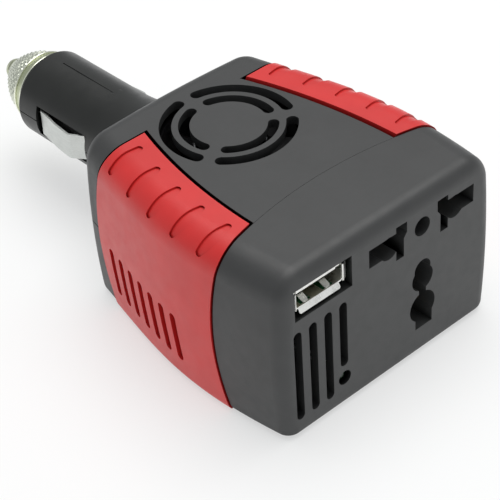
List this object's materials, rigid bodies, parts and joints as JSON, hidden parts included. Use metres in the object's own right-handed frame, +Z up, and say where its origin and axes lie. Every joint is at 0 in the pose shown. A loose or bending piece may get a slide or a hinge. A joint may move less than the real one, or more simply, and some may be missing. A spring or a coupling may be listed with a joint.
{
  "type": "power inverter",
  "caption": "Palm-sized plug-in power inverter: dark housing with a ventilated crown, red grip panels, mains outlet and USB port in front, and a 12 V vehicle plug at the rear.",
  "frame": {"origin": "bottom centre of the whole object's box; the flat base rests on z = 0", "axes": "+Y along the vehicle plug, from the outlet face at -Y to the plug's centre contact; +Z up; +X to the right seen from the outlet face looking along +Y"},
  "size_m": [0.0648, 0.1262, 0.0411],
  "materials": {
    "housing": "fine-textured dark grey plastic",
    "grip": "satin red plastic",
    "plug_plastic": "smooth black plastic",
    "clip_metal": "nickel-plated spring strip",
    "tip_metal": "nickel-plated, slightly warm",
    "spring_steel": "drawn spring wire",
    "fuse_glass": "clear glass",
    "plated_contact": "tinned brass strip",
    "sleeve_plastic": "moulded insulator",
    "fan_plastic": "black moulding",
    "fan_steel": "turned steel",
    "fan_magnet": "dark magnet",
    "screw_steel": "zinc-plated screws",
    "carrier_plastic": "grey moulded insulator",
    "usb_metal": "bright nickel-plated sheet",
    "usb_tongue": "pale olive moulded tongue",
    "board_green": "solder-masked laminate",
    "lamp_plastic": "dark translucent lens",
    "lead_wire": "tinned wire",
    "ferrite": "dark ferrite",
    "bobbin_plastic": "cream moulding",
    "copper_winding": "enamelled copper",
    "heat_sink_metal": "bare extruded aluminium",
    "transistor_body": "black moulded package",
    "capacitor_sleeve": "shrink sleeve",
    "wire_red": "flexible insulation",
    "wire_black": "flexible insulation",
    "wire_brown": "flexible insulation",
    "wire_blue": "flexible insulation",
    "wire_green": "flexible insulation"
  },
  "bodies": {
    "inverter_body": {"front_cap": "housing", "upper_housing": "housing", "lower_housing": "housing", "right_grip_panel": "grip", "left_grip_panel": "grip", "plug_barrel_upper": "plug_plastic", "plug_barrel_lower": "plug_plastic", "tip_collar": "tip_metal", "tip_cap": "tip_metal", "contact_spring": "spring_steel", "fuse_tube": "fuse_glass", "fuse_caps": "plated_contact", "fuse_terminal": "plated_contact", "live_contact": "plated_contact", "neutral_contact": "plated_contact", "earth_contact": "plated_contact", "usb_contacts": "plated_contact", "fuse_sleeve": "sleeve_plastic", "fan_frame": "fan_plastic", "fan_stator": "fan_magnet", "fan_screws": "screw_steel", "housing_screws": "screw_steel", "board_screws": "screw_steel", "outlet_carrier": "carrier_plastic", "usb_shell": "usb_metal", "usb_tongue": "usb_tongue", "usb_board": "board_green", "circuit_board": "board_green", "lamp_lens": "lamp_plastic", "lamp_leads": "lead_wire", "transformer_core": "ferrite", "transformer_bobbin": "bobbin_plastic", "transformer_winding": "copper_winding", "right_heat_sink": "heat_sink_metal", "left_heat_sink": "heat_sink_metal", "power_transistors": "transistor_body", "capacitors": "capacitor_sleeve", "supply_wire_positive": "wire_red", "fan_wires": "wire_red", "supply_wire_negative": "wire_black", "live_wire": "wire_brown", "neutral_wire": "wire_blue", "earth_wire": "wire_green"},
    "fan_rotor": {"fan_rotor": "fan_plastic", "fan_shaft": "fan_steel", "fan_magnet": "fan_magnet"},
    "ground_clip_left": {"ground_clip_left": "clip_metal"},
    "ground_clip_right": {"ground_clip_right": "clip_metal"},
    "center_contact": {"center_contact": "tip_metal"}
  },
  "joints": [
    {"name": "fan_spin", "type": "hinge", "parent": "inverter_body", "child": "fan_rotor", "pos_m": [0, -0.0166, 0.033], "axis": [0, 0, 1], "continuous": true},
    {"name": "clip_right_flex", "type": "hinge", "parent": "inverter_body", "child": "ground_clip_right", "pos_m": [0.0069, 0.0414, 0.0204], "axis": [0, 0, 1], "range_deg": [-6, 0], "stiffness_Nm_per_rad": 0.6},
    {"name": "clip_left_flex", "type": "hinge", "parent": "inverter_body", "child": "ground_clip_left", "pos_m": [-0.0069, 0.0414, 0.0204], "axis": [0, 0, 1], "range_deg": [0, 6], "stiffness_Nm_per_rad": 0.6},
    {"name": "contact_press", "type": "slide", "parent": "inverter_body", "child": "center_contact", "axis": [0, -1, 0], "range_m": [0, 0.002], "stiffness_N_per_m": 2000, "deforming": ["contact_spring"]}
  ]
}
